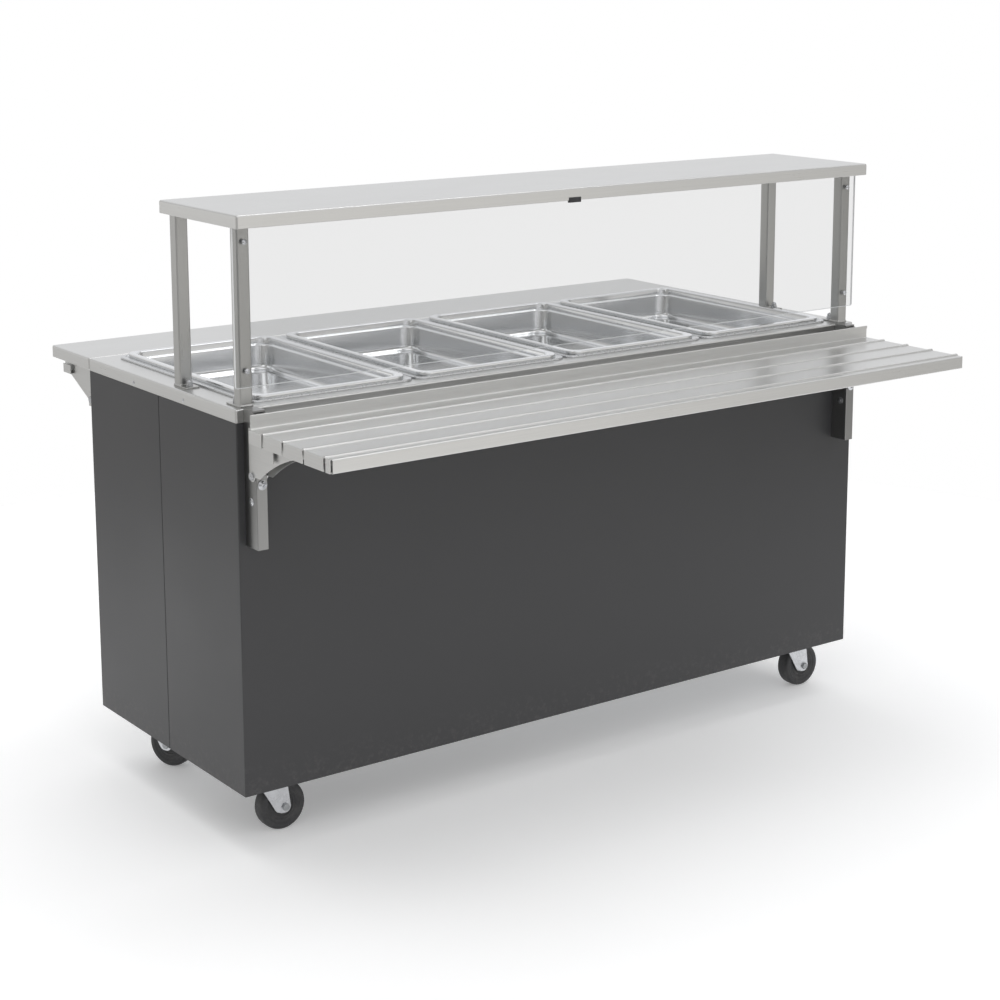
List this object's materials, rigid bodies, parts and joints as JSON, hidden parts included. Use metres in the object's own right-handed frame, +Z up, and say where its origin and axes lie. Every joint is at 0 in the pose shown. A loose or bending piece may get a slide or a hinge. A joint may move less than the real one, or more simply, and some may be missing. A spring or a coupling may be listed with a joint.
{
  "type": "mobile steam table",
  "caption": "Wheeled hot food table with heated wells, lift-out pans, an overshelf with a clear guard, a fold-down tray slide and a fold-down work shelf.",
  "frame": {"origin": "on the floor, under the middle of the outline (tray slide and work shelf raised)", "axes": "+X along the length to the right as a customer sees it, -Y towards the customer, +Z up"},
  "size_m": [1.53, 1.098, 1.187],
  "materials": {
    "brushed_stainless": "brushed",
    "well_steel": "satin",
    "pan_steel": "polished",
    "charcoal_panel": "satin",
    "frame_steel": "galvanised",
    "clear_acrylic": "clear",
    "zinc": "bright zinc",
    "black_bolt": "black oxide",
    "wheel_rubber": "satin",
    "heater_sheath": "heat darkened",
    "pipe_steel": "satin",
    "valve_brass": "plain",
    "red_plastic": "satin",
    "black_plastic": "satin",
    "amber_lens": "clear",
    "cream_plastic": "satin",
    "dark_clip": "satin"
  },
  "bodies": {
    "cabinet": {"worktop": "brushed_stainless", "front_panel": "charcoal_panel", "end_panels": "charcoal_panel", "base_deck": "frame_steel", "uprights": "frame_steel", "long_rails": "frame_steel", "cross_rails": "frame_steel", "control_panel": "brushed_stainless", "well_1": "well_steel", "well_2": "well_steel", "well_3": "well_steel", "well_4": "well_steel", "heating_elements": "heater_sheath", "drain_manifold": "pipe_steel", "drain_valve": "valve_brass", "thermostats": "cream_plastic", "indicator_lights": "amber_lens", "switch_housing": "black_plastic", "power_inlet": "black_plastic", "overshelf": "brushed_stainless", "shelf_posts": "brushed_stainless", "guard": "clear_acrylic", "guard_clip": "dark_clip", "guard_screws": "zinc", "post_bolts": "zinc", "lip_rivets": "zinc", "caster_plates": "zinc", "caster_bolts": "black_bolt", "tray_brackets": "brushed_stainless", "bracket_bolts": "zinc", "shelf_brackets": "brushed_stainless", "pivot_pins": "zinc"},
    "tray": {"tray_slide": "brushed_stainless", "tray_arms": "brushed_stainless"},
    "work_shelf": {"rear_shelf": "brushed_stainless", "shelf_arms": "brushed_stainless"},
    "pan_1": {"pan_1": "pan_steel"},
    "pan_2": {"pan_2": "pan_steel"},
    "pan_3": {"pan_3": "pan_steel"},
    "pan_4": {"pan_4": "pan_steel"},
    "caster_front_left": {"fork_front_left": "zinc", "axle_front_left": "zinc"},
    "wheel_front_left": {"wheel_front_left": "wheel_rubber"},
    "caster_front_right": {"fork_front_right": "zinc", "axle_front_right": "zinc"},
    "wheel_front_right": {"wheel_front_right": "wheel_rubber"},
    "caster_rear_left": {"fork_rear_left": "zinc", "axle_rear_left": "zinc"},
    "wheel_rear_left": {"wheel_rear_left": "wheel_rubber"},
    "caster_rear_right": {"fork_rear_right": "zinc", "axle_rear_right": "zinc"},
    "wheel_rear_right": {"wheel_rear_right": "wheel_rubber"},
    "knob_1": {"knob_1": "black_plastic"},
    "knob_2": {"knob_2": "black_plastic"},
    "knob_3": {"knob_3": "black_plastic"},
    "knob_4": {"knob_4": "black_plastic"},
    "power_rocker": {"power_rocker": "red_plastic"},
    "drain_lever": {"drain_lever": "red_plastic"},
    "brake_rear_left": {"brake_rear_left": "zinc"},
    "brake_rear_right": {"brake_rear_right": "zinc"}
  },
  "joints": [
    {"name": "tray_fold", "type": "hinge", "parent": "cabinet", "child": "tray", "pos_m": [0, -0.26, 0.724], "axis": [1, 0, 0], "range_deg": [0, 90]},
    {"name": "work_shelf_fold", "type": "hinge", "parent": "cabinet", "child": "work_shelf", "pos_m": [0, 0.387, 0.752], "axis": [-1, 0, 0], "range_deg": [0, 90]},
    {"name": "pan_1_lift", "type": "slide", "parent": "cabinet", "child": "pan_1", "axis": [0, 0, 1], "range_m": [0, 0.2]},
    {"name": "pan_2_lift", "type": "slide", "parent": "cabinet", "child": "pan_2", "axis": [0, 0, 1], "range_m": [0, 0.2]},
    {"name": "pan_3_lift", "type": "slide", "parent": "cabinet", "child": "pan_3", "axis": [0, 0, 1], "range_m": [0, 0.2]},
    {"name": "pan_4_lift", "type": "slide", "parent": "cabinet", "child": "pan_4", "axis": [0, 0, 1], "range_m": [0, 0.2]},
    {"name": "swivel_front_left", "type": "hinge", "parent": "cabinet", "child": "caster_front_left", "pos_m": [-0.673, -0.144, 0.119], "axis": [0, 0, 1], "continuous": true},
    {"name": "roll_front_left", "type": "hinge", "parent": "caster_front_left", "child": "wheel_front_left", "pos_m": [-0.644, -0.144, 0.048], "axis": [0, 1, 0], "continuous": true},
    {"name": "swivel_front_right", "type": "hinge", "parent": "cabinet", "child": "caster_front_right", "pos_m": [0.673, -0.144, 0.119], "axis": [0, 0, 1], "continuous": true},
    {"name": "roll_front_right", "type": "hinge", "parent": "caster_front_right", "child": "wheel_front_right", "pos_m": [0.702, -0.144, 0.048], "axis": [0, 1, 0], "continuous": true},
    {"name": "swivel_rear_left", "type": "hinge", "parent": "cabinet", "child": "caster_rear_left", "pos_m": [-0.673, 0.286, 0.119], "axis": [0, 0, 1], "continuous": true},
    {"name": "roll_rear_left", "type": "hinge", "parent": "caster_rear_left", "child": "wheel_rear_left", "pos_m": [-0.66074, 0.25972, 0.048], "axis": [0.9063, 0.4226, 0], "continuous": true},
    {"name": "swivel_rear_right", "type": "hinge", "parent": "cabinet", "child": "caster_rear_right", "pos_m": [0.673, 0.286, 0.119], "axis": [0, 0, 1], "continuous": true},
    {"name": "roll_rear_right", "type": "hinge", "parent": "caster_rear_right", "child": "wheel_rear_right", "pos_m": [0.702, 0.286, 0.048], "axis": [0, 1, 0], "continuous": true},
    {"name": "brake_press_rear_left", "type": "hinge", "parent": "caster_rear_left", "child": "brake_rear_left", "pos_m": [-0.65441, 0.24612, 0.107], "axis": [0.9063, 0.4226, 0], "range_deg": [0, 14]},
    {"name": "brake_press_rear_right", "type": "hinge", "parent": "caster_rear_right", "child": "brake_rear_right", "pos_m": [0.717, 0.286, 0.107], "axis": [0, 1, 0], "range_deg": [0, 14]},
    {"name": "knob_1_turn", "type": "hinge", "parent": "cabinet", "child": "knob_1", "pos_m": [-0.5385, 0.3795, 0.757], "axis": [0, -1, 0], "range_deg": [0, 270]},
    {"name": "knob_2_turn", "type": "hinge", "parent": "cabinet", "child": "knob_2", "pos_m": [-0.1795, 0.3795, 0.757], "axis": [0, -1, 0], "range_deg": [0, 270]},
    {"name": "knob_3_turn", "type": "hinge", "parent": "cabinet", "child": "knob_3", "pos_m": [0.1795, 0.3795, 0.757], "axis": [0, -1, 0], "range_deg": [0, 270]},
    {"name": "knob_4_turn", "type": "hinge", "parent": "cabinet", "child": "knob_4", "pos_m": [0.5385, 0.3795, 0.757], "axis": [0, -1, 0], "range_deg": [0, 270]},
    {"name": "power_rocker_press", "type": "hinge", "parent": "cabinet", "child": "power_rocker", "pos_m": [-0.662, 0.366, 0.757], "axis": [1, 0, 0], "range_deg": [0, 16]},
    {"name": "drain_lever_turn", "type": "hinge", "parent": "cabinet", "child": "drain_lever", "pos_m": [0.63, 0.278, 0.676], "axis": [0, 0, -1], "range_deg": [0, 90]}
  ]
}
